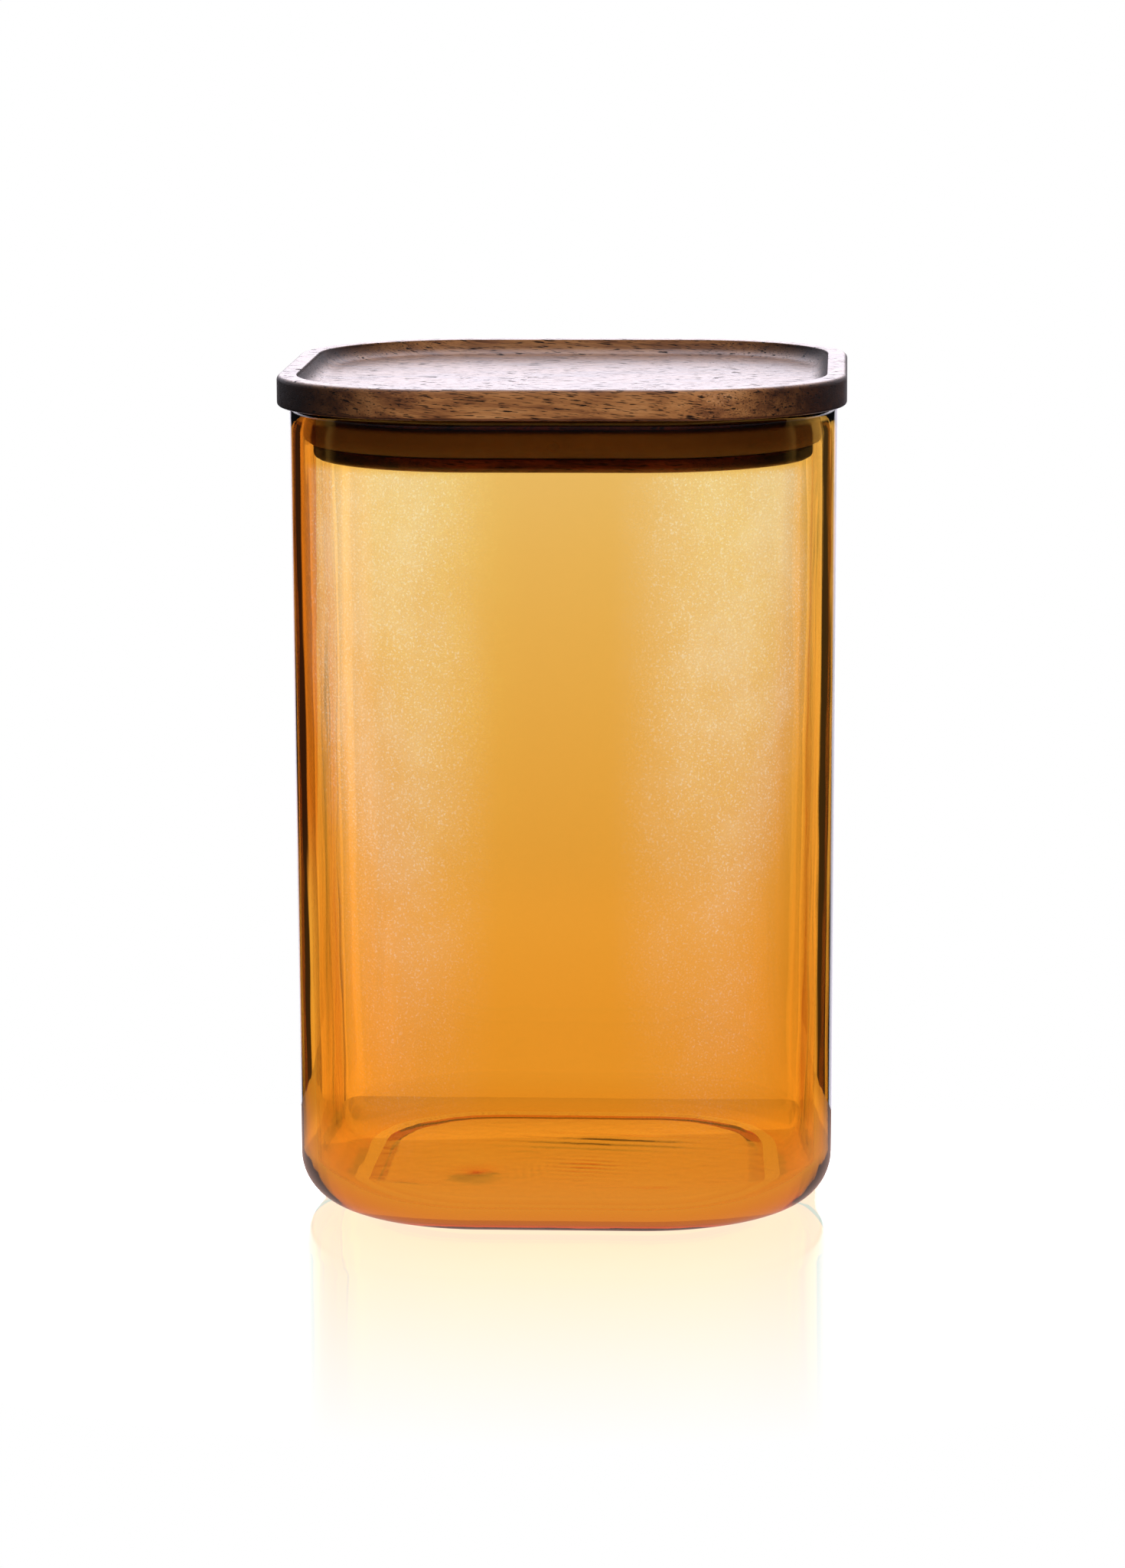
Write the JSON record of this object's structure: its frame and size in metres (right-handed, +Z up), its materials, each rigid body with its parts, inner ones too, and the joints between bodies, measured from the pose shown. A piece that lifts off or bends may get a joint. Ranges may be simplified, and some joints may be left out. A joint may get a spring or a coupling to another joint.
{
  "type": "square glass storage jar",
  "caption": "Square storage jar of amber glass with rounded corners, closed by a dished wooden lid whose plug carries a silicone seal.",
  "frame": {"origin": "middle of the jar's foot, on the surface that it stands on", "axes": "+Z up the jar's height, +X to the right and -Y to the front; the four sides are alike"},
  "size_m": [0.1046, 0.1046, 0.1561],
  "materials": {
    "amber_glass": "clear amber glass, polished outside, with a faint dry haze inside",
    "acacia_wood": "brown acacia with dark pores and light streaks, oiled to a satin gloss",
    "milky_silicone": "translucent milky silicone, soft satin"
  },
  "bodies": {
    "jar": {"glass_jar": "amber_glass"},
    "lid": {"lid_board": "acacia_wood", "lid_plug": "acacia_wood", "seal_ring": "milky_silicone"}
  },
  "joints": [
    {"name": "lid_lift", "type": "slide", "parent": "jar", "child": "lid", "axis": [0, 0, 1], "range_m": [0, 0.12]}
  ]
}
